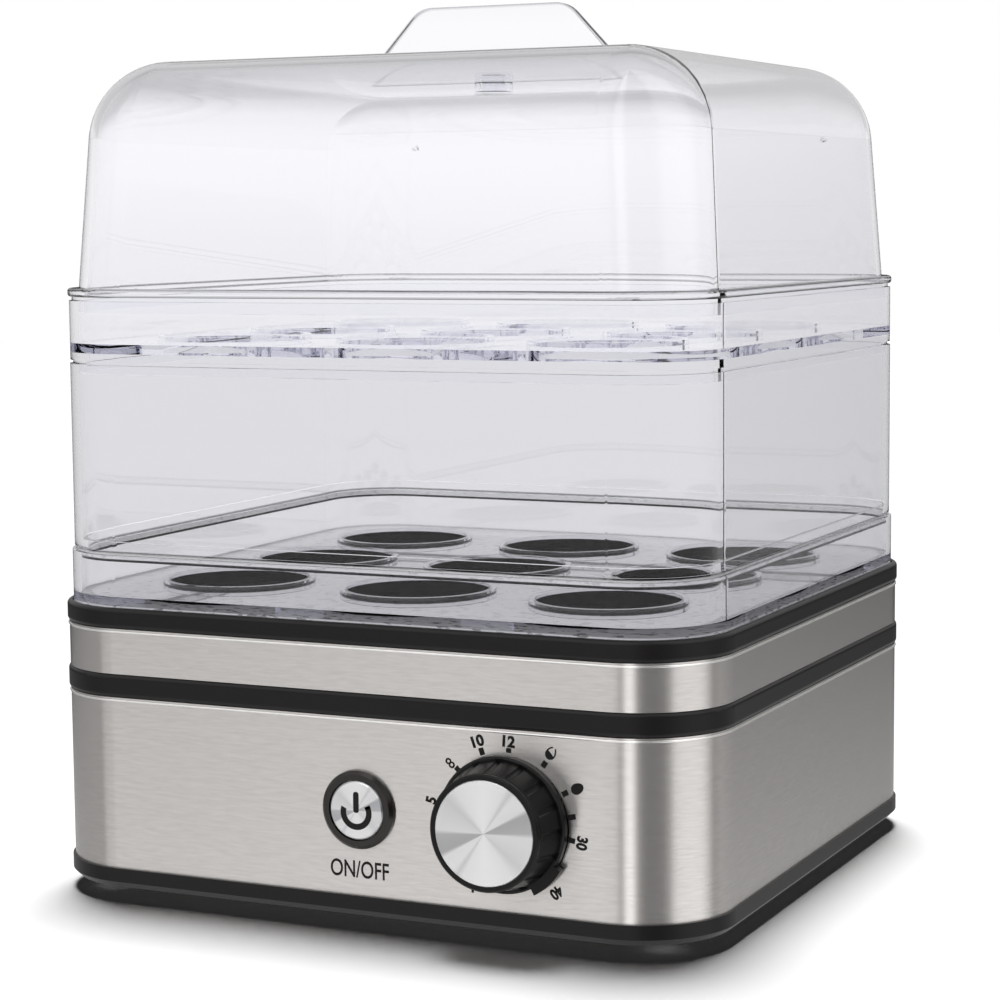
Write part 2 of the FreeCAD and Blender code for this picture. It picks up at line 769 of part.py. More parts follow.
def make_knob_body():
    skirt_front = knob_gap + knob_skirt_thickness
    rim_back = knob_height - knob_rim_height
    recess = knob_height - knob_cap_recess
    outside = knob_turned([
        (0, knob_gap),
        (knob_skirt_radius, knob_gap),
        (knob_skirt_radius, skirt_front - knob_skirt_bevel),
        (knob_skirt_radius - knob_skirt_bevel, skirt_front),
        (knob_foot_radius, skirt_front),
        (knob_face_radius, rim_back - knob_groove_depth),
        (knob_face_radius - knob_groove_depth, rim_back),
        (knob_face_radius, rim_back + knob_groove_depth),
        (knob_face_radius, knob_height - knob_rim_bevel),
        (knob_face_radius - knob_rim_bevel, knob_height),
        (knob_face_radius - knob_rim_width, knob_height),
        (knob_face_radius - knob_rim_width, recess),
        (0, recess),
    ])
    hollow = knob_turned([
        (knob_boss_radius, knob_gap - cut_past),
        (knob_skirt_radius - knob_wall, knob_gap - cut_past),
        (knob_skirt_radius - knob_wall, knob_gap + knob_skirt_bevel),
        (knob_foot_radius - knob_wall, skirt_front),
        (knob_face_radius - knob_wall, recess - knob_wall),
        (knob_boss_radius, recess - knob_wall),
    ])
    flutes = []
    slope = (knob_foot_radius - knob_face_radius) / (rim_back - knob_groove_depth - skirt_front)
    start_radius = knob_foot_radius + knob_flute_radius - knob_flute_depth
    length = rim_back - knob_groove_depth - skirt_front
    for index in range(knob_flute_count):
        angle = 2 * math.pi * index / knob_flute_count
        outward = point(math.sin(angle), 0, math.cos(angle))
        base = point(knob_x, front_face - skirt_front, control_height) + outward * start_radius
        lean = TOWARDS_FRONT - outward * slope
        flutes.append(Part.makeCylinder(knob_flute_radius, length, base, lean))
    pointer = knob_turned([
        (knob_foot_radius, knob_gap),
        (knob_pointer_reach, knob_gap),
        (knob_pointer_reach, skirt_front),
        (knob_foot_radius, skirt_front),
    ], knob_pointer_spread)
    pointer.rotate(point(knob_x, 0, control_height), TOWARDS_BACK,
                   knob_pointer_angle - 90 - knob_pointer_spread / 2)
    shaft_hole = shaft_section(knob_bore_gap, knob_shaft_end - knob_bore_gap, front_face)
    body = outside.cut(hollow).cut(Part.makeCompound(flutes))
    return fused([body, pointer]).cut(shaft_hole)


# Timer shaft: round in the timer, with a flat where it drives the knob
knob_shaft_end = front_face - knob_height + knob_cap_recess + knob_shaft_tip_gap


def shaft_section(gap, y_front, y_back):
    """Round bar with the driving flat, grown by gap, between two planes along Y."""
    rod = forward_rod(knob_x, control_height, timer_shaft_radius + gap, y_back, y_front)
    size = timer_shaft_radius * 2
    away = box_between(knob_x - size, knob_x + size, y_front - cut_past, y_back + cut_past,
                       control_height + timer_shaft_flat + gap, control_height + size)
    away.rotate(point(knob_x, 0, control_height), TOWARDS_BACK, knob_pointer_angle)
    return rod.cut(away)


def make_timer_shaft():
    driven = shaft_section(0, knob_shaft_end, knob_back)
    rear = bracket_back + timer_bore_depth - timer_shaft_end_gap
    turned = forward_rod(knob_x, control_height, timer_shaft_radius, rear, knob_back)
    return fused([driven, turned])


def make_knob_cap():
    radius = knob_face_radius - knob_rim_width - running_gap
    back = front_face - knob_height + knob_cap_recess
    cap = forward_rod(knob_x, control_height, radius, back, back - knob_cap_thickness)
    return bevel_front(cap, back - knob_cap_thickness, knob_cap_bevel)


# Cord inlet at the back: flanged bush through the steel with a clip ring inside
def make_cord_inlet():
    flange = forward_rod(inlet_x, inlet_height, inlet_flange_radius, back_face + inlet_flange_thickness,
                         back_face)
    flange = bevel_front(flange, back_face + inlet_flange_thickness, inlet_edge_bevel)
    clip_front = back_face - steel_thickness - inlet_clip_thickness
    neck = forward_rod(inlet_x, inlet_height, inlet_neck_radius, back_face + join_depth, clip_front)
    clip = forward_rod(inlet_x, inlet_height, inlet_clip_radius, back_face - steel_thickness,
                       clip_front)
    bore = forward_rod(inlet_x, inlet_height, inlet_bore_radius,
                       back_face + inlet_flange_thickness + cut_past, clip_front - cut_past)
    return fused([flange, neck, clip]).cut(bore)


def make_terminal_block():
    left = block_x - block_width / 2
    block_top = base_floor_top + block_height
    block = box_between(left, left + block_width, block_y, block_y + block_depth, base_floor_top,
                        block_top)
    pitch = block_width / block_pole_count
    cuts = []
    for index in range(block_pole_count):
        x = left + pitch * (index + 0.5)
        for y in (block_y + block_screw_setback, block_y + block_depth - block_screw_setback):
            cuts.append(upright(x, y, block_screw_radius, block_top - block_slot_depth,
                                block_top + cut_past))
    for index in range(1, block_pole_count):
        x = left + pitch * index
        cuts.append(box_between(x - block_slot_width / 2, x + block_slot_width / 2, block_y - cut_past,
                                block_y + block_depth + cut_past, block_top - block_slot_depth,
                                block_top + cut_past))
    return block.cut(Part.makeCompound(cuts))


# Clear egg tray: walled floor with collared holes, a stepped seat and a lip that nests below
egg_places = [((column - (egg_columns - 1) / 2) * egg_column_pitch,
               (row - (egg_rows - 1) / 2) * egg_row_pitch)
              for column in range(egg_columns) for row in range(egg_rows)]


def make_egg_tray(wall_inset, seat):
    floor_bottom = seat + tray_floor_rise
    floor_top = floor_bottom + tray_floor_thickness
    lip_inner = tray_lip_inset + lip_wall
    pieces = [
        band(wall_inset, wall_inset + clear_wall, seat + seat_step_height, seat + tray_height),
        band(wall_inset, lip_inner, seat + seat_step_height, floor_bottom + join_depth),
        band(wall_inset + seat_step_inset, lip_inner, seat, seat + seat_step_height + join_depth),
        band(tray_lip_inset, lip_inner, seat - tray_lip_depth, seat + join_depth),
        slab(wall_inset + join_depth, floor_bottom, floor_top),
    ]
    for x, y in egg_places:
        pieces.append(upright(x, y, egg_hole_radius + collar_wall, floor_top - join_depth,
                              floor_top + collar_height))
    holes = [upright(x, y, egg_hole_radius, floor_bottom - cut_past, floor_top + collar_height + cut_past)
             for x, y in egg_places]
    return fused(pieces).cut(Part.makeCompound(holes))


def make_spacer_ring():
    lip_inner = spacer_lip_inset + lip_wall
    return fused([
        band(spacer_inset, spacer_inset + clear_wall, spacer_seat + seat_step_height, upper_tray_seat),
        band(spacer_inset, lip_inner, spacer_seat + seat_step_height, spacer_seat + spacer_foot_height),
        band(spacer_inset + seat_step_inset, lip_inner, spacer_seat,
             spacer_seat + seat_step_height + join_depth),
        band(spacer_lip_inset, lip_inner, spacer_seat - spacer_lip_depth, spacer_seat + join_depth),
    ])


# Lid: deep drafted dome on a flange, with a handle plate pegged through its top
lid_draft_slope = math.tan(math.radians(lid_draft))


def lid_dome(wall):
    """Solid dome, moved inwards everywhere by wall."""
    height = lid_top - wall - lid_flange_top
    low_x = body_width / 2 - lid_wall_inset - wall
    low_y = body_depth / 2 - lid_wall_inset - wall
    high_x = low_x - height * lid_draft_slope
    high_y = low_y - height * lid_draft_slope
    block = Part.makeWedge(-low_x, 0, -low_y, -high_y, -high_x, low_x, height, low_y, high_y, high_x)
    block.rotate(point(0, 0, 0), point(1, 0, 0), 90)
    block.translate(UP * lid_flange_top)
    edges = [edge for edge in block.Edges if edge.BoundBox.ZMax > lid_flange_top + cut_past]
    return block.makeFillet(lid_round - wall, edges)


def make_lid_shell():
    flange = band(lid_flange_inset, lid_inner_inset, lid_flange_bottom, lid_flange_top)
    edges = outline_edges(flange, lid_flange_inset, lid_flange_bottom)
    edges += outline_edges(flange, lid_flange_inset, lid_flange_top)
    flange = flange.makeFillet(lid_flange_round, edges)
    seat = band(upper_tray_inset + seat_step_inset, lid_inner_inset, lid_seat,
                lid_flange_bottom + join_depth)
    lip = band(lid_lip_inset, lid_inner_inset, lid_seat - lid_lip_depth, lid_seat + join_depth)
    dome = lid_dome(0).cut(lid_dome(clear_wall))
    peg_hole = upright(0, 0, handle_peg_radius + snug_gap, lid_top - clear_wall - cut_past,
                       lid_top + cut_past)
    return fused([dome, flange, seat, lip]).cut(peg_hole)


def make_lid_handle():
    half_foot = handle_foot_width / 2
    half_top = handle_top_width / 2
    y = -handle_thickness / 2
    corners = [point(-half_foot, y, lid_top), point(half_foot, y, lid_top),
               point(half_top, y, handle_top), point(-half_top, y, handle_top)]
    plate = Part.Face(Part.makePolygon(corners + corners[:1])).extrude(TOWARDS_BACK * handle_thickness)
    shoulders = [edge for edge in plate.Edges
                 if edge.BoundBox.YLength > touch and edge.BoundBox.ZMin > handle_top - touch]
    plate = plate.makeFillet(handle_shoulder_round, shoulders)
    rims = [edge for edge in plate.Edges
            if edge.BoundBox.YLength < touch and edge.BoundBox.ZMax > lid_top + touch]
    plate = plate.makeFillet(handle_edge_round, rims)
    peg_bottom = lid_top - clear_wall - handle_washer_height + handle_washer_floor
    return fused([plate, upright(0, 0, handle_peg_radius, peg_bottom, lid_top + join_depth)])


def make_handle_washer():
    top = lid_top - clear_wall
    washer = upright(0, 0, handle_washer_radius, top - handle_washer_height, top)
    return washer.cut(upright(0, 0, handle_peg_radius + running_gap,
                              top - handle_washer_height + handle_washer_floor, top + cut_past))


save(make_base_plate(), "base_plate")
save(make_feet(), "feet")
save(make_base_screws(), "base_screws")
save(make_lower_steel_sleeve(), "lower_steel_sleeve")
save(make_middle_ring(), "middle_ring")
save(band(0, steel_thickness, band_bottom, band_top), "upper_steel_band")
save(make_top_housing(), "top_housing")
save(make_heating_pan(), "heating_pan")
save(make_pan_seal(), "pan_seal")
save(make_pan_nuts(), "pan_nuts")
save(make_heat_plate(), "heat_plate")
save(make_heating_element(), "heating_element")
save(make_element_terminals(), "element_terminals")
save(make_thermostat(), "thermostat")
save(make_thermal_fuse(), "thermal_fuse")
save(make_fuse_clamp(), "fuse_clamp")
save(make_control_bracket(), "control_bracket")
save(make_bracket_screws(), "bracket_screws")
save(make_timer_case(), "timer_case")
save(make_timer_bell(), "timer_bell")
save(make_power_button_bezel(), "power_button_bezel")
save(make_power_button(), "power_button")
save(make_push_switch(), "push_switch")
save(make_knob_body(), "knob_body")
save(make_timer_shaft(), "timer_shaft")
save(make_knob_cap(), "knob_cap")
save(make_cord_inlet(), "cord_inlet")
save(make_terminal_block(), "terminal_block")
save(make_egg_tray(lower_tray_inset, lower_tray_seat), "lower_egg_tray")
save(make_spacer_ring(), "spacer_ring")
save(make_egg_tray(upper_tray_inset, upper_tray_seat), "upper_egg_tray")
save(make_lid_shell(), "lid_shell")
save(make_lid_handle(), "lid_handle")
save(make_handle_washer(), "handle_washer")
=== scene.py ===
import math

import bpy
from mathutils import Euler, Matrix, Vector


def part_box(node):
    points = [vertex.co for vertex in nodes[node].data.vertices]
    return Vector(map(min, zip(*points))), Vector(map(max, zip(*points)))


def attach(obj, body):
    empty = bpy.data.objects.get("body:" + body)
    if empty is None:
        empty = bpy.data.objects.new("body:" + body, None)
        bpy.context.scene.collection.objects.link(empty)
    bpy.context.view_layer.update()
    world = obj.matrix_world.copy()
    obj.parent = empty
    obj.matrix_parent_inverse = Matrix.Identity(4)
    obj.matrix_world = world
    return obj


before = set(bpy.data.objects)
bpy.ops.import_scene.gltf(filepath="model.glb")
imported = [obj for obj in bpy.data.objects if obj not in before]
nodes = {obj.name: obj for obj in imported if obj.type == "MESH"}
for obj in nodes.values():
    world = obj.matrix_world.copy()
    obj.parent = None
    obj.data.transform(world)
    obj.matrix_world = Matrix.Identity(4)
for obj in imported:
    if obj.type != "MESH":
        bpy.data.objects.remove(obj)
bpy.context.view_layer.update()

# The camera stands in front of the boiler, to its right and a little above the middle.
# Its place and lens were solved from the edges of the body.
bpy.ops.object.select_all(action="DESELECT")
camera_place = (0.29577, -0.62881, 0.16968)
camera_turn = 0.43904
camera_dip = 0.107455
camera_roll = -0.008979
film_width_mm = 36
lens_mm = 94.92
bpy.ops.object.camera_add(location=camera_place)
camera = bpy.context.object
camera_angles = Euler((math.pi / 2 - camera_dip, 0, camera_turn))
camera_angles.rotate_axis("Z", camera_roll)
camera.rotation_euler = camera_angles
camera.data.sensor_width = film_width_mm
camera.data.lens = lens_mm
bpy.context.scene.camera = camera
bpy.context.scene.view_settings.view_transform = "Standard"

# Light crosses a dozen clear walls on its way through the stack, and each wall has two faces.
# Fewer bounces than that would leave black patches where the walls lie behind one another.
faces_crossed = 24
bpy.context.scene.cycles.max_bounces = faces_crossed
bpy.context.scene.cycles.transmission_bounces = faces_crossed
bpy.context.scene.cycles.glossy_bounces = faces_crossed // 2

# The floor is matte white paper. The camera sees it burnt out to white with the shadow on it,
# and what comes through the clear plastic shows it with a painted shade, greyer close to the boiler.
floor_radius = 3.0
burnt_out_white = 1.32
bounced_grey = "b4b4b4"
# Shares of the floor's radius, and how white the paper is there through the plastic under the painted shade
painted_shade_through_plastic = [(0.05, 0.62), (0.12, 0.8), (0.19, 0.95), (0.33, 1.0), (0.87, 1.0)]


def linear(code):
    """Linear red, green, blue and alpha of an sRGB hex colour."""
    parts = [int(code[place:place + 2], 16) / 255 for place in (0, 2, 4)]
    return [part / 12.92 if part <= 0.04045 else ((part + 0.055) / 1.055) ** 2.4 for part in parts] + [1]


def add_node(tree, kind, values={}, links={}, **settings):
    """Adds a node, sets its settings and input values, and links its inputs to other outputs."""
    node = tree.nodes.new(kind)
    for name, value in settings.items():
        setattr(node, name, value)
    for name, value in values.items():
        node.inputs[name].default_value = value
    for name, output in links.items():
        tree.links.new(output, node.inputs[name])
    return node


def new_material(name):
    """A material with an empty node tree."""
    material = bpy.data.materials.new(name)
    material.use_nodes = True
    material.node_tree.nodes.clear()
    return material, material.node_tree


def ramp_stops(ramp, stops):
    """Sets the stops of a colour ramp, each a position and a grey level."""
    elements = ramp.color_ramp.elements
    while len(elements) < len(stops):
        elements.new(0.5)
    for element, (position, level) in zip(elements, stops):
        element.position = position
        element.color = (level, level, level, 1)


bpy.ops.mesh.primitive_circle_add(vertices=96, radius=floor_radius, fill_type="NGON", location=(0, 0, 0))
floor = bpy.context.object
floor.name = "studio_floor"
paper_material, tree = new_material("matte white paper")
path = add_node(tree, "ShaderNodeLightPath")
coords = add_node(tree, "ShaderNodeTexCoord")
reach = add_node(tree, "ShaderNodeVectorMath", links={0: coords.outputs["Object"]}, operation="LENGTH")
share = add_node(tree, "ShaderNodeMath", {1: 1 / floor_radius}, {0: reach.outputs["Value"]},
                 operation="MULTIPLY")
# Painted shade on the paper as seen through the plastic, darker close to the boiler
through = add_node(tree, "ShaderNodeValToRGB", links={"Fac": share.outputs[0]})
ramp_stops(through, painted_shade_through_plastic)
bounced = add_node(tree, "ShaderNodeMix", {6: linear(bounced_grey)},
                   {"Factor": path.outputs["Is Transmission Ray"], 7: through.outputs["Color"]},
                   data_type="RGBA")
shown = add_node(tree, "ShaderNodeMix", {7: (burnt_out_white, burnt_out_white, burnt_out_white, 1)},
                 {"Factor": path.outputs["Is Camera Ray"], 6: bounced.outputs[2]}, data_type="RGBA")
paper = add_node(tree, "ShaderNodeBsdfDiffuse", links={"Color": shown.outputs[2]})
add_node(tree, "ShaderNodeOutputMaterial", links={"Surface": paper.outputs[0]})
floor.data.materials.append(paper_material)
floor.visible_glossy = False

# Round the boiler stands a white studio. Straight rays see a white backdrop, and mirrored rays see
# the panels and the dark gaps between them, which a dark strip crosses at the height of the lens.
mirror_gain = 3.0
soft_light_level = 0.008
# Degrees from the front towards the right, and how bright the studio is there in a reflection
studio_panels = [(-180, 0.44), (-60, 0.44), (-54, 0.38), (-48, 0.68), (-36, 0.74), (-27, 0.84), (-12, 0.76),
                 (-7, 0.72), (-4, 0.42), (0, 0.46), (4, 1.2), (11, 1.3), (15, 0.7), (19, 0.3), (28, 0.22),
                 (50, 0.22), (57, 0.4), (62, 0.78), (68, 0.92), (98, 1.05), (105, 0.9), (112, 0.62),
                 (117, 0.36), (130, 0.48), (150, 0.44), (164, 0.4), (180, 0.44)]
# From straight down at 0 to straight up at 1, the share of the panels' light in a reflection,
# and how bright the backdrop is through the clear plastic
panel_heights = [(0.4, 0.46), (0.415, 0.02), (0.53, 0.02), (0.56, 0.45), (0.7, 0.45), (0.78, 0.62)]
backdrop_heights = [(0.47, 0.92), (0.495, 0.98), (0.51, 1.05), (0.535, 1.05), (0.57, 0.68), (0.62, 0.64),
                    (0.75, 0.55), (0.85, 0.35), (0.93, 0.08), (1.0, 0.05)]
world = bpy.data.worlds.new("white studio")
bpy.context.scene.world = world
world.use_nodes = True
tree = world.node_tree
tree.nodes.clear()
path = add_node(tree, "ShaderNodeLightPath")
way = add_node(tree, "ShaderNodeTexCoord")
axes = add_node(tree, "ShaderNodeSeparateXYZ", links={0: way.outputs["Generated"]})
front = add_node(tree, "ShaderNodeMath", {1: -1}, {0: axes.outputs["Y"]}, operation="MULTIPLY")
turn = add_node(tree, "ShaderNodeMath", links={0: axes.outputs["X"], 1: front.outputs[0]},
                operation="ARCTAN2")
share = add_node(tree, "ShaderNodeMapRange", {"From Min": -math.pi, "From Max": math.pi},
                 {"Value": turn.outputs[0]})
panels = add_node(tree, "ShaderNodeValToRGB", links={"Fac": share.outputs["Result"]})
ramp_stops(panels, [(degrees / 360 + 0.5, level) for degrees, level in studio_panels])
height = add_node(tree, "ShaderNodeMapRange", {"From Min": -1.0, "From Max": 1.0},
                  {"Value": axes.outputs["Z"]})
ceiling = add_node(tree, "ShaderNodeValToRGB", links={"Fac": height.outputs["Result"]})
ramp_stops(ceiling, panel_heights)
ceiling_strength = add_node(tree, "ShaderNodeMath", {1: mirror_gain}, {0: ceiling.outputs["Color"]},
                            operation="MULTIPLY")
mirrored = add_node(tree, "ShaderNodeBackground",
                    links={"Color": panels.outputs["Color"], "Strength": ceiling_strength.outputs[0]})
backdrop_levels = add_node(tree, "ShaderNodeValToRGB", links={"Fac": height.outputs["Result"]})
ramp_stops(backdrop_levels, backdrop_heights)
backdrop = add_node(tree, "ShaderNodeBackground", links={"Color": backdrop_levels.outputs["Color"]})
soft_light = add_node(tree, "ShaderNodeBackground", {"Color": linear("ffffff"), "Strength": soft_light_level})
white = add_node(tree, "ShaderNodeBackground", {"Color": linear("ffffff"), "Strength": 1.0})
off_gloss = add_node(tree, "ShaderNodeMixShader", links={0: path.outputs["Is Glossy Ray"],
                                                         1: soft_light.outputs[0], 2: mirrored.outputs[0]})
through = add_node(tree, "ShaderNodeMixShader", links={0: path.outputs["Is Transmission Ray"],
                                                       1: off_gloss.outputs[0], 2: backdrop.outputs[0]})
seen = add_node(tree, "ShaderNodeMixShader", links={0: path.outputs["Is Camera Ray"], 1: through.outputs[0],
                                                    2: white.outputs[0]})
add_node(tree, "ShaderNodeOutputWorld", links={"Surface": seen.outputs[0]})

# The main lamp hangs behind the boiler, opposite the camera, so that the shadow comes forward.
# Fill lamps lift the upright sides, and leave the paper and the reflections alone.
fill_height = 22
fill_width = 60


def distant_lamp(name, side, height, width, level):
    """A far, broad lamp. Side and height are the degrees to it, from the front to the right, and up."""
    bpy.ops.object.light_add(type="SUN", location=(0, 0, 1))
    lamp = bpy.context.object
    lamp.name = name
    outwards = math.cos(math.radians(height))
    away = Vector((math.sin(math.radians(side)) * outwards, -math.cos(math.radians(side)) * outwards,
                   math.sin(math.radians(height))))
    lamp.rotation_euler = away.to_track_quat("Z", "Y").to_euler()
    lamp.data.angle = math.radians(width)
    lamp.data.energy = level * math.pi
    lamp.visible_glossy = False
    lamp.visible_transmission = False
    return lamp


distant_lamp("overhead_softbox", 205, 74, 24, 0.85)
unlit = bpy.data.collections.new("not_lit_by_the_fills")
unlit.objects.link(floor)
unlit.collection_objects[0].light_linking.link_state = "EXCLUDE"
for name, side, level in (("front_fill", -20, 0.5), ("right_fill", 100, 0.25), ("rear_fill", 200, 0.3)):
    fill = distant_lamp(name, side, fill_height, fill_width, level)
    fill.light_linking.receiver_collection = unlit


def dress(material, *names):
    """Gives frame nodes a material."""
    for name in names:
        for place in nodes[name].material_slots:
            place.material = material


def mottled(name, tones, grain_width, detail, surface, relief=0.0, relief_depth=0.00005, distortion=0.0):
    """A material of one tone, or of two that mingle, with grains of a given width in colour and relief."""
    material, tree = new_material(name)
    coords = add_node(tree, "ShaderNodeTexCoord")
    grains = add_node(tree, "ShaderNodeTexNoise",
                      {"Scale": 1 / grain_width, "Detail": detail, "Distortion": distortion},
                      {"Vector": coords.outputs["Object"]})
    shader = add_node(tree, "ShaderNodeBsdfPrincipled", {"Base Color": linear(tones[0]), **surface})
    if len(tones) > 1:
        tone = add_node(tree, "ShaderNodeMix", {6: linear(tones[0]), 7: linear(tones[1])},
                        {"Factor": grains.outputs[0]}, data_type="RGBA")
        tree.links.new(tone.outputs[2], shader.inputs["Base Color"])
    if relief > 0:
        bump = add_node(tree, "ShaderNodeBump", {"Strength": relief, "Distance": relief_depth},
                        {"Height": grains.outputs[0]})
        tree.links.new(bump.outputs[0], shader.inputs["Normal"])
    add_node(tree, "ShaderNodeOutputMaterial", links={"Surface": shader.outputs[0]})
    return material


satin_black = mottled("satin black ABS", ("141212", "1b1818"), grain_width=0.0007, detail=2, relief=0.15,
                      surface={"Roughness": 0.38, "Specular IOR Level": 0.3})
dress(satin_black, "base_plate", "middle_ring", "top_housing", "cord_inlet")

# The four feet are bevelled pads of black rubber. Their barbed stems are pressed through holes in
# the base plate. Moulded rubber is matt, with a dusty bloom that shows as a faint mottle.
foot_rubber = mottled("black rubber", ("161616", "242322"), grain_width=0.003, detail=4,
                      surface={"Roughness": 0.8, "Specular IOR Level": 0.3})
dress(foot_rubber, "feet")

# Steel sleeve and band, rolled from brushed stainless sheet with the grain running level.
# The scratches spread each highlight up and down. They show as faint streaks, drawn coarser
# than they are.
scratch_length = 0.004
scratch_width = 0.0004
brushed_steel, tree = new_material("brushed stainless steel")
coords = add_node(tree, "ShaderNodeTexCoord")
streaks = add_node(tree, "ShaderNodeMapping",
                   {"Scale": (1 / scratch_length, 1 / scratch_length, 1 / scratch_width)},
                   {"Vector": coords.outputs["Object"]})
scratches = add_node(tree, "ShaderNodeTexNoise", {"Scale": 1, "Detail": 3, "Roughness": 0.6},
                     {"Vector": streaks.outputs[0]})
tone = add_node(tree, "ShaderNodeMix", {6: linear("d2cecb"), 7: linear("eae6e3")},
                {"Factor": scratches.outputs[0]}, data_type="RGBA")
bump = add_node(tree, "ShaderNodeBump", {"Strength": 0.06, "Distance": 0.00005},
                {"Height": scratches.outputs[0]})
shader = add_node(tree, "ShaderNodeBsdfPrincipled", {"Metallic": 1, "Roughness": 0.27, "Anisotropic": 0.95,
                                                     "Anisotropic Rotation": 0.25},
                  {"Base Color": tone.outputs[2], "Normal": bump.outputs[0]})
add_node(tree, "ShaderNodeOutputMaterial", links={"Surface": shader.outputs[0]})
dress(brushed_steel, "lower_steel_sleeve", "upper_steel_band")

# The upper edge of each steel sheet is rolled over into a fine bead, polished by the rolls.
# It catches the light from above as a thin bright line under the black mouldings.
bead_radius = 0.0003
bead_drop = 0.0007
sheet_corner_radius = 0.023
corner_steps = 20
polished_steel = mottled("roll-polished stainless steel", ("f0eeec", "fbfaf8"), grain_width=0.006, detail=2,
                         surface={"Metallic": 1, "Roughness": 0.2})


def edit_all():
    """Opens the active mesh in edit mode with everything selected."""
    bpy.ops.object.mode_set(mode="EDIT")
    bpy.ops.mesh.select_all(action="SELECT")


for name in ("lower_steel_sleeve", "upper_steel_band"):
    sheet_low, sheet_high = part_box(name)
    bpy.ops.mesh.primitive_plane_add(size=1, location=((sheet_low[0] + sheet_high[0]) / 2,
                                                       (sheet_low[1] + sheet_high[1]) / 2,
                                                       sheet_high[2] - bead_drop))
    bead = bpy.context.object
    bead.name = name + "_bead"
    bead.scale = (sheet_high[0] - sheet_low[0], sheet_high[1] - sheet_low[1], 1)
    bpy.ops.object.transform_apply(location=True, rotation=False, scale=True)
    edit_all()
    bpy.ops.mesh.bevel(offset=sheet_corner_radius, segments=corner_steps, affect="VERTICES")
    bpy.ops.mesh.select_all(action="SELECT")
    bpy.ops.mesh.delete(type="ONLY_FACE")
    bpy.ops.object.mode_set(mode="OBJECT")
    bpy.ops.object.convert(target="CURVE")
    bead = bpy.context.object
    bead.data.bevel_depth = bead_radius
    bead.data.bevel_resolution = 3
    bpy.ops.object.convert(target="MESH")
    bead = bpy.context.object
    bead.data.materials.clear()
    bead.data.materials.append(polished_steel)
    bpy.ops.object.shade_smooth()
    bpy.ops.object.select_all(action="DESELECT")
    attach(bead, "base")

# Heating pan, deep drawn from aluminium and coated with black non-stick resin on its wet side.
# The baked coating is nearly black and satin, with the fine orange peel of a sprayed film.
coated = mottled("black non-stick coating", ("050505",), grain_width=0.0015, detail=1, relief=0.2,
                 surface={"Roughness": 0.5, "Specular IOR Level": 0.02})
dress(coated, "heating_pan")

# Seal under the pan's flange, moulded in white silicone and squeezed onto the housing by the nuts
# on the pan's studs. Its skin is matt and slightly cloudy.
silicone = mottled("white silicone rubber", ("c6c5c0", "d2d1cc"), grain_width=0.002, detail=2,
                   surface={"Roughness": 0.7, "IOR": 1.41})
dress(silicone, "pan_seal")

# Heat plate and thermal fuse can, in die-cast and drawn aluminium left as it comes from the tool.
# The cast skin is a dull light grey with slight flow marks.
cast_aluminium = mottled("cast aluminium", ("b4b5b7", "d0d1d2"), grain_width=0.008, detail=5, distortion=0.6,
                         surface={"Metallic": 1, "Roughness": 0.5})
dress(cast_aluminium, "heat_plate", "thermal_fuse")

# Heating element: a steel tube bent into an open loop and brazed under the heat plate.
# Its own heat has blued and browned it in soft patches.
element_steel = mottled("heat-tinted steel", ("6d625c", "8b8482"), grain_width=0.012, detail=3,
                        surface={"Metallic": 1, "Roughness": 0.45})
dress(element_steel, "heating_element")

# Insulating beads on the cold ends of the element, pressed and fired in unglazed steatite.
# They are cream coloured, with a slight grit.
steatite = mottled("unglazed steatite", ("ddd6c8", "ebe6da"), grain_width=0.0008, detail=3,
                   surface={"Roughness": 0.65})
dress(steatite, "element_terminals")

# Thermostat body, pressed in phenolic resin with a mineral filler.
# Its skin is dull and brown-black, and the filler shows as a fine fleck.
phenolic = mottled("phenolic resin", ("241b17", "38291f"), grain_width=0.0005, detail=4,
                   surface={"Roughness": 0.5})
dress(phenolic, "thermostat")

# Nuts, screws, the control bracket, the fuse clamp, the timer bell and its shaft.
# Zinc-plated steel is a cool silver with a faint cloudy spangle.
zinc = mottled("zinc-plated steel", ("bfc1c2", "d4d6d8"), grain_width=0.004, detail=2,
               surface={"Metallic": 1, "Roughness": 0.35})
dress(zinc, "pan_nuts", "fuse_clamp", "control_bracket", "bracket_screws", "timer_bell", "timer_shaft",
      "base_screws")

# Timer case, push switch and terminal block, moulded in nylon without any dye.
# It is cream coloured, milky and a little waxy.
nylon = mottled("natural nylon", ("d9d4c3", "e6e2d4"), grain_width=0.006, detail=2,
                surface={"Roughness": 0.45, "IOR": 1.53})
dress(nylon, "timer_case", "push_switch", "terminal_block")

# Bezel of the power button, moulded in black ABS and set in a hole in the steel.
# The tool was polished, so the bezel mirrors the studio.
gloss_black = mottled("polished black ABS", ("3a3735",), grain_width=0.003, detail=1, relief=0.05,
                      surface={"Metallic": 0.6, "Roughness": 0.22})
dress(gloss_black, "power_button_bezel")

# Timer knob, moulded in black ABS with shallow finger flutes and a pointer on its skirt.
# It is pushed onto the timer's shaft, and its fine grain gives it a soft sheen.
knob_black = mottled("fine-grained black ABS", ("131212",), grain_width=0.0004, detail=2, relief=0.15,
                     relief_depth=0.00004, surface={"Roughness": 0.34, "Specular IOR Level": 0.25})
dress(knob_black, "knob_body")

# Knob cap: a disc of aluminium sheet with a spun face, pressed into the end of the knob.
# Its turned rings spread the reflections into a fan, and a painted reflection of light and dark wedges
# meeting in the middle is laid into its colour.
knob_low, knob_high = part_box("knob_cap")
knob_x = (knob_low[0] + knob_high[0]) / 2
control_z = (knob_low[2] + knob_high[2]) / 2
# Shares of half a turn, and how light the painted reflection is there. The other half has the same painted
# wedges.
painted_fan_reflection = [(0.0, 1.0), (0.15, 0.95), (0.19, 0.55), (0.225, 1.0), (0.32, 1.0), (0.35, 0.1), (0.47, 0.12),
              (0.5, 0.74), (0.66, 0.7), (0.715, 0.6), (0.8, 0.95), (1.0, 1.0)]


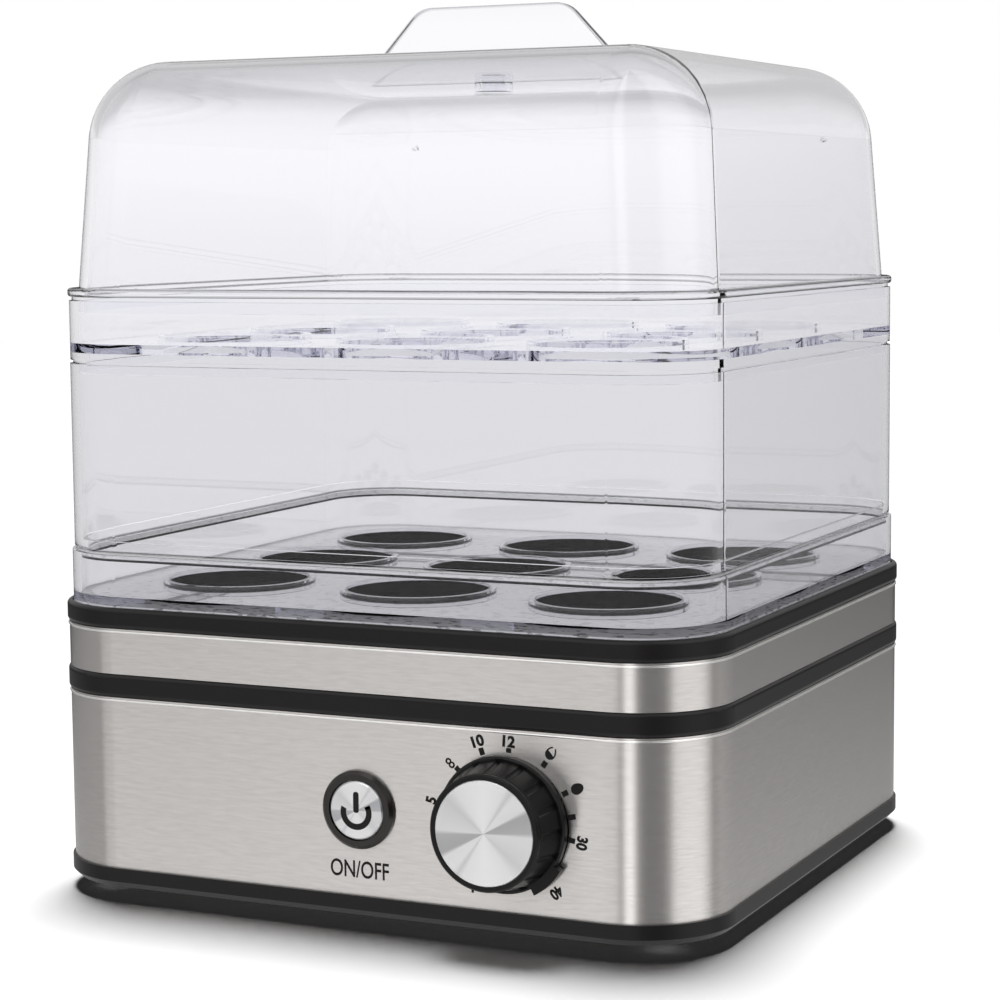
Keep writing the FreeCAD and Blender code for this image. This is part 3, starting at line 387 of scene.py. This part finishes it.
def spun_metal(name, centre, light, dark, ring_width):
    """Metal turned on a lathe about a level axis from front to back, with rings of a given width and painted
    reflection wedges.
    """
    material, tree = new_material(name)
    coords = add_node(tree, "ShaderNodeTexCoord")
    centred = add_node(tree, "ShaderNodeVectorMath", {1: centre}, {0: coords.outputs["Object"]},
                       operation="SUBTRACT")
    axes = add_node(tree, "ShaderNodeSeparateXYZ", links={0: centred.outputs[0]})
    turn = add_node(tree, "ShaderNodeMath", links={0: axes.outputs["X"], 1: axes.outputs["Z"]},
                    operation="ARCTAN2")
    fan = add_node(tree, "ShaderNodeMath", {1: math.pi}, {0: turn.outputs[0]}, operation="FLOORED_MODULO")
    share = add_node(tree, "ShaderNodeMath", {1: math.pi}, {0: fan.outputs[0]}, operation="DIVIDE")
    # Painted reflection: light and dark wedges by the angle round the axis, laid into the base colour
    painted_fan_ramp = add_node(tree, "ShaderNodeValToRGB", links={"Fac": share.outputs[0]})
    ramp_stops(painted_fan_ramp, painted_fan_reflection)
    tone = add_node(tree, "ShaderNodeMix", {6: linear(dark), 7: linear(light)},
                    {"Factor": painted_fan_ramp.outputs["Color"]}, data_type="RGBA")
    flat = add_node(tree, "ShaderNodeCombineXYZ", links={"X": axes.outputs["X"], "Z": axes.outputs["Z"]})
    radius = add_node(tree, "ShaderNodeVectorMath", links={0: flat.outputs[0]}, operation="LENGTH")
    rings = add_node(tree, "ShaderNodeTexNoise", {"Scale": 1 / ring_width, "Detail": 2},
                     {"W": radius.outputs["Value"]}, noise_dimensions="1D")
    bump = add_node(tree, "ShaderNodeBump", {"Strength": 0.25, "Distance": 0.00003},
                    {"Height": rings.outputs[0]})
    around = add_node(tree, "ShaderNodeTangent", direction_type="RADIAL", axis="Y")
    shader = add_node(tree, "ShaderNodeBsdfPrincipled",
                      {"Metallic": 0.75, "Roughness": 0.3, "Anisotropic": 0.8, "Anisotropic Rotation": 0.25},
                      {"Base Color": tone.outputs[2], "Normal": bump.outputs[0],
                       "Tangent": around.outputs[0]})
    add_node(tree, "ShaderNodeOutputMaterial", links={"Surface": shader.outputs[0]})
    return material


spun_aluminium = spun_metal("spun aluminium", (knob_x, 0, control_z), "ffffff", "bdbdbe", ring_width=0.0002)
dress(spun_aluminium, "knob_cap")

# Cap of the power button, a moulding plated with chrome and turned in the same way.
# It slides in the bezel and has the same painted reflection of wedges in its colour, a little cooler.
button_low, button_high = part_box("power_button")
button_x = (button_low[0] + button_high[0]) / 2
spun_chrome = spun_metal("spun silver cap", (button_x, 0, control_z), "ffffff", "c4c5c9", ring_width=0.0003)
dress(spun_chrome, "power_button")

# Timer scale, printed on the steel round the knob in matt black ink: minutes, bars and two small
# eggs, one soft and one hard. Each mark is a film of ink that stands proud of its face.
ink_film = 0.00003
ink_gap = 0.000004
steel_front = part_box("lower_steel_sleeve")[0][1]
figure_width = 0.0016
figure_height = 0.0028
bar_width = 0.0013
bar_rounding = 0.0001
off_bar_width = 0.0006
off_bar_length = 0.0018
off_bar_degrees = -153
off_bar_reach = 0.0183
egg_width = 0.0026
egg_length = 0.0033
# Every mark has its degrees clockwise from the top of the knob and its distance from the knob's axis.
# The figures also have their boldness, the bars their length, and the eggs whether they are soft.
figures = (("5", 0.045, -78.4, 0.0193), ("8", 0.015, -46.4, 0.0191), ("10", 0.045, -19.3, 0.0201),
           ("12", 0.045, 3.9, 0.0195), ("30", 0.045, 98.4, 0.0198), ("40", 0.045, 138.8, 0.0200))
bars = ((-45.1, 0.0168, 0.0014), (-18.8, 0.0175, 0.0017), (4.2, 0.0174, 0.0011), (34.7, 0.0180, 0.0016),
        (61.3, 0.0176, 0.0016), (79.8, 0.0174, 0.0019), (98.1, 0.0172, 0.0017))
eggs = ((True, 34.3, 0.0209), (False, 62.1, 0.0206))
ink = mottled("matt black ink", ("121111", "1d1b1a"), grain_width=0.0003, detail=1,
              surface={"Roughness": 0.6, "Specular IOR Level": 0.3})


def lay_ink(piece, across, up, face, turn=0.0):
    """Stands a flat mark up against a face at y, at x and z, turned clockwise as seen from the front."""
    edit_all()
    bpy.ops.mesh.normals_make_consistent(inside=False)
    bpy.ops.object.mode_set(mode="OBJECT")
    piece.rotation_euler = (math.pi / 2, turn, 0)
    piece.location = (across, face - ink_gap, up)
    bpy.ops.object.transform_apply(location=True, rotation=True, scale=True)
    piece.data.materials.clear()
    piece.data.materials.append(ink)
    return piece


def thicken():
    """Pulls the flat faces of the mesh being edited out to the thickness of the ink film, and leaves it."""
    bpy.ops.mesh.select_all(action="SELECT")
    bpy.ops.mesh.extrude_region_move(TRANSFORM_OT_translate={"value": (0, 0, ink_film)})
    bpy.ops.object.mode_set(mode="OBJECT")


def edit_upper_half(piece):
    """Opens a flat mesh in edit mode with only what lies above its middle selected."""
    bpy.ops.object.mode_set(mode="EDIT")
    bpy.ops.mesh.select_all(action="DESELECT")
    bpy.ops.object.mode_set(mode="OBJECT")
    for vertex in piece.data.vertices:
        vertex.select = vertex.co.y > 0
    bpy.ops.object.mode_set(mode="EDIT")


def printed_words(words, boldness, width, height, across, up, face, turn=0.0):
    """Letters or figures of a given boldness, width and height, centred on a place."""
    bpy.ops.object.text_add(location=(0, 0, 0))
    piece = bpy.context.object
    piece.data.body = words
    piece.data.offset = boldness
    bpy.ops.object.convert(target="MESH")
    corners = [Vector(corner) for corner in piece.bound_box]
    low = Vector(min(corner[axis] for corner in corners) for axis in range(3))
    high = Vector(max(corner[axis] for corner in corners) for axis in range(3))
    piece.location = (-(low.x + high.x) / 2, -(low.y + high.y) / 2, 0)
    bpy.ops.object.transform_apply(location=True, rotation=False, scale=False)
    piece.scale = (width / (high.x - low.x), height / (high.y - low.y), 1)
    bpy.ops.object.transform_apply(location=False, rotation=False, scale=True)
    bpy.ops.object.mode_set(mode="EDIT")
    thicken()
    return lay_ink(piece, across, up, face, turn)


def printed_bar(width, length, rounding, across, up, face, turn=0.0):
    """A bar with round corners."""
    bpy.ops.mesh.primitive_plane_add(size=1, location=(0, 0, 0))
    piece = bpy.context.object
    piece.scale = (width, length, 1)
    bpy.ops.object.transform_apply(location=False, rotation=False, scale=True)
    edit_all()
    bpy.ops.mesh.bevel(offset=rounding, segments=5, affect="VERTICES")
    thicken()
    return lay_ink(piece, across, up, face, turn)


def printed_egg(width, length, soft, across, up, face, turn=0.0):
    """An egg with its narrow end outwards, and with a bare window at that end if it is a soft one."""
    window_edge = width * 0.12
    window_slant = 0.35
    rim_width = width * 0.14
    bpy.ops.mesh.primitive_circle_add(vertices=40, radius=width / 2, fill_type="NGON", location=(0, 0, 0))
    piece = bpy.context.object
    edit_upper_half(piece)
    bpy.ops.transform.resize(value=(1, 2 * length / width - 1, 1), center_override=(0, 0, 0))
    if soft:
        edit_all()
        bpy.ops.mesh.inset(thickness=rim_width)
        bpy.ops.mesh.bisect(plane_co=(0, window_edge, 0), plane_no=(window_slant, 1, 0))
        bpy.ops.object.mode_set(mode="OBJECT")
        for polygon in piece.data.polygons:
            polygon.select = polygon.center.y > window_edge and abs(polygon.center.x) < window_edge
        bpy.ops.object.mode_set(mode="EDIT")
        bpy.ops.mesh.select_mode(type="FACE")
        bpy.ops.mesh.delete(type="FACE")
        bpy.ops.mesh.select_mode(type="VERT")
    thicken()
    return lay_ink(piece, across, up, face, turn)


def joined(pieces, name, body):
    """Joins printed marks into one piece that rides on a body."""
    bpy.ops.object.select_all(action="DESELECT")
    for piece in pieces:
        piece.select_set(True)
    bpy.context.view_layer.objects.active = pieces[0]
    if len(pieces) > 1:
        bpy.ops.object.join()
    pieces[0].name = name
    bpy.ops.object.select_all(action="DESELECT")
    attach(pieces[0], body)


def round_the_knob(degrees, radius):
    """The place on the steel at a number of degrees clockwise from the top of the knob, and its turn."""
    turn = math.radians(degrees)
    return {"across": knob_x + radius * math.sin(turn), "up": control_z + radius * math.cos(turn),
            "face": steel_front, "turn": turn}


marks = []
for words, boldness, degrees, radius in figures:
    marks.append(printed_words(words, boldness, figure_width * len(words), figure_height,
                               **round_the_knob(degrees, radius)))
for degrees, radius, length in bars:
    marks.append(printed_bar(bar_width, length, bar_rounding, **round_the_knob(degrees, radius)))
for soft, degrees, radius in eggs:
    marks.append(printed_egg(egg_width, egg_length, soft, **round_the_knob(degrees, radius)))
# The thin bar where the timer is off stands upright
off_bar_place = round_the_knob(off_bar_degrees, off_bar_reach)
off_bar_place["turn"] = 0.0
marks.append(printed_bar(off_bar_width, off_bar_length, bar_rounding, **off_bar_place))
joined(marks, "timer_scale", "base")

# Words under the power button, printed on the steel in the same ink.
# They are thinner than the figures of the scale, and stand level.
words_width = 0.0157
words_height = 0.0042
words_z = 0.0149
words_shift = 0.0001
words_boldness = 0.012
joined([printed_words("ON/OFF", words_boldness, words_width, words_height, button_x - words_shift, words_z,
                      steel_front)], "button_words", "base")

# Power sign, printed on the cap of the button in the same ink, so it goes in with the button.
# It is a bar that stands in the gap of an open ring.
sign_radius = 0.0034
sign_stroke = 0.0015
sign_drop = 0.0005
sign_gap = 130
sign_bar_length = 0.0051
sign_bar_rise = 0.0020
sign_bar_rounding = sign_stroke * 0.45
button_front = button_low[1]
bpy.ops.mesh.primitive_plane_add(size=1, location=(0, 0, 0))
ring = bpy.context.object
ring.scale = (sign_stroke, sign_stroke / 2, 1)
ring.location = (sign_radius, 0, 0)
bpy.ops.object.transform_apply(location=True, rotation=False, scale=True)
edit_upper_half(ring)
bpy.ops.mesh.spin(steps=40, angle=math.radians(360 - sign_gap), center=(0, 0, 0), axis=(0, 0, 1))
bpy.ops.mesh.select_all(action="SELECT")
bpy.ops.mesh.remove_doubles(threshold=0.00001)
thicken()
lay_ink(ring, button_x, control_z - sign_drop, button_front, math.radians(sign_gap / 2 - 90))
stroke = printed_bar(sign_stroke, sign_bar_length, sign_bar_rounding, button_x, control_z + sign_bar_rise,
                     button_front)
joined([ring, stroke], "power_sign", "power_button")

# Lower egg tray, moulded in SAN: a hard, glass-clear plastic of high gloss, faintly violet where it
# is thick. The bores of its egg holes under their polished collars are painted black, a painted shade
# standing for the black pan seen below them. The edge of its floor has a painted glittering highlight strip.
hole_pitch = (0.0516, 0.0466)
# Painted shade in the bores: its radius round each hole and the height it reaches up to
painted_bore_shade_radius = 0.0183
painted_bore_shade_top = 0.0769
# Pitches from the middle of the tray to just past the outer holes, where the bores end
holes_reach = 1.4
tray_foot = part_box("lower_egg_tray")[0][2]
# Heights of the painted glittering strip above the tray's foot, and the size of its painted flecks
strip_start = 0.0026
strip_end = 0.0052
painted_fleck_length = 0.003
painted_fleck_height = 0.0012


def clear_plastic(name, murk):
    """Clear plastic that dims what passes through it by a share for each metre, with next to no shadow."""
    material, tree = new_material(name)
    path = add_node(tree, "ShaderNodeLightPath")
    shader = add_node(tree, "ShaderNodeBsdfPrincipled", {"Base Color": linear("fcfcfe"), "Roughness": 0.015,
                                                         "IOR": 1.55, "Transmission Weight": 1})
    open_way = add_node(tree, "ShaderNodeBsdfTransparent", {"Color": linear("fdfdfd")})
    surface = add_node(tree, "ShaderNodeMixShader", links={0: path.outputs["Is Shadow Ray"],
                                                           1: shader.outputs[0], 2: open_way.outputs[0]})
    inside = add_node(tree, "ShaderNodeVolumeAbsorption", {"Color": (0.79, 0.79, 0.84, 1), "Density": murk})
    add_node(tree, "ShaderNodeOutputMaterial", links={"Surface": surface.outputs[0],
                                                      "Volume": inside.outputs[0]})
    return material


def cover(tree, share, coat):
    """Lays a shader over a material's surface, by a share."""
    output = tree.nodes["Material Output"]
    below = output.inputs["Surface"].links[0].from_socket
    both = add_node(tree, "ShaderNodeMixShader", links={0: share, 1: below, 2: coat.outputs[0]})
    tree.links.new(both.outputs[0], output.inputs["Surface"])


def add_painted_bands(material, painted_shade_stops, painted_highlight_stops, height_start, height_end, broken):
    """Painted bands at set heights of a clear moulding: painted shade in the dark ones, painted highlight in
    the bright ones.
    """
    tree = material.node_tree
    coords = add_node(tree, "ShaderNodeTexCoord")
    axes = add_node(tree, "ShaderNodeSeparateXYZ", links={0: coords.outputs["Object"]})
    height = add_node(tree, "ShaderNodeMapRange", {"From Min": height_start, "From Max": height_end},
                      {"Value": axes.outputs["Z"]})
    dark = add_node(tree, "ShaderNodeValToRGB", links={"Fac": height.outputs["Result"]})
    ramp_stops(dark, painted_shade_stops)
    bright = add_node(tree, "ShaderNodeValToRGB", links={"Fac": height.outputs["Result"]})
    ramp_stops(bright, painted_highlight_stops)
    painted_fleck_grid = add_node(tree, "ShaderNodeMapping",
                      {"Scale": (1 / painted_fleck_length, 1 / painted_fleck_length, 1 / painted_fleck_height)},
                      {"Vector": coords.outputs["Object"]})
    painted_fleck_noise = add_node(tree, "ShaderNodeTexNoise", {"Scale": 1, "Detail": 3}, {"Vector": painted_fleck_grid.outputs[0]})
    gaps = add_node(tree, "ShaderNodeMapRange", {"From Min": 0.38, "From Max": 0.44, "To Min": 1 - broken},
                    {"Value": painted_fleck_noise.outputs[0]})
    painted_highlight_share = add_node(tree, "ShaderNodeMath", links={0: bright.outputs["Color"], 1: gaps.outputs["Result"]},
                     operation="MULTIPLY")
    # Painted highlight: a white coat over the bright bands, broken into flecks. Painted shade: near-black
    # over the dark ones.
    painted_glint_coat = add_node(tree, "ShaderNodeBsdfPrincipled", {"Base Color": linear("fcfcfd"), "Roughness": 0.3})
    black = add_node(tree, "ShaderNodeBsdfDiffuse", {"Color": linear("161618")})
    cover(tree, painted_highlight_share.outputs[0], painted_glint_coat)
    cover(tree, dark.outputs["Color"], black)


# The lower tray has a painted glittering highlight strip at the edge of its floor, and no painted shade band
tray_san = clear_plastic("clear SAN plastic with painted bore shade", 60)
add_painted_bands(tray_san, [(0.0, 0.0), (1.0, 0.0)], [(0.1, 0.0), (0.2, 1.0), (0.85, 1.0), (0.95, 0.0)],
          tray_foot + strip_start, tray_foot + strip_end, broken=0.6)
tree = tray_san.node_tree
coords = add_node(tree, "ShaderNodeTexCoord")
centred = add_node(tree, "ShaderNodeVectorMath", {1: (hole_pitch[0] / 2, hole_pitch[1] / 2, 0)},
                   {0: coords.outputs["Object"]}, operation="ADD")
cell = add_node(tree, "ShaderNodeVectorMath", {1: (hole_pitch[0], hole_pitch[1], 1)},
                {0: centred.outputs[0]}, operation="DIVIDE")
share = add_node(tree, "ShaderNodeVectorMath", links={0: cell.outputs[0]}, operation="FRACTION")
from_middle = add_node(tree, "ShaderNodeVectorMath", {1: (0.5, 0.5, 0)}, {0: share.outputs[0]},
                       operation="SUBTRACT")
in_metres = add_node(tree, "ShaderNodeVectorMath", {1: (hole_pitch[0], hole_pitch[1], 0)},
                     {0: from_middle.outputs[0]}, operation="MULTIPLY")
reach = add_node(tree, "ShaderNodeVectorMath", links={0: in_metres.outputs[0]}, operation="LENGTH")
size = add_node(tree, "ShaderNodeVectorMath", links={0: coords.outputs["Object"]}, operation="ABSOLUTE")
sides = add_node(tree, "ShaderNodeSeparateXYZ", links={0: size.outputs[0]})
# Painted shade: a near-black matt coat over the bores of the holes, below their collars
painted_bore_shade_mask = None
for measure, limit in ((reach.outputs["Value"], painted_bore_shade_radius), (sides.outputs["Z"], painted_bore_shade_top),
                       (sides.outputs["X"], holes_reach * hole_pitch[0]),
                       (sides.outputs["Y"], holes_reach * hole_pitch[1])):
    within = add_node(tree, "ShaderNodeMath", {1: limit}, {0: measure}, operation="LESS_THAN")
    if painted_bore_shade_mask is not None:
        within = add_node(tree, "ShaderNodeMath", links={0: painted_bore_shade_mask.outputs[0], 1: within.outputs[0]},
                          operation="MULTIPLY")
    painted_bore_shade_mask = within
painted_bore_shade = add_node(tree, "ShaderNodeBsdfDiffuse", {"Color": linear("080808")})
cover(tree, painted_bore_shade_mask.outputs[0], painted_bore_shade)
dress(tray_san, "lower_egg_tray")

# The spacer is a clear square band in the same plastic, which stands in the lower tray.
# Its foot is stepped into the tray; at the step lie a painted shade line, a painted highlight line above it
# and a fainter painted shade line above that.
spacer_san = clear_plastic("clear SAN plastic with painted lines at its stepped foot", 25)
spacer_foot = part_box("spacer_ring")[0][2]
banded_height = 0.003
# Painted shade and painted highlight lines at the spacer's foot
add_painted_bands(spacer_san,
          [(0.0, 0.9), (0.14, 0.9), (0.19, 0.0), (0.66, 0.0), (0.71, 0.5), (0.8, 0.5), (0.85, 0.0)],
          [(0.2, 0.0), (0.25, 1.0), (0.6, 1.0), (0.66, 0.0)],
          spacer_foot, spacer_foot + banded_height, broken=0.3)
dress(spacer_san, "spacer_ring")

# Upper egg tray, and the lid with its plate handle and the washer that locks the handle's peg.
# All are moulded in the same plastic, with nothing dark behind them, so they stay clear and pale.
clear_san = clear_plastic("clear SAN plastic", 25)
dress(clear_san, "upper_egg_tray", "lid_shell", "lid_handle", "handle_washer")
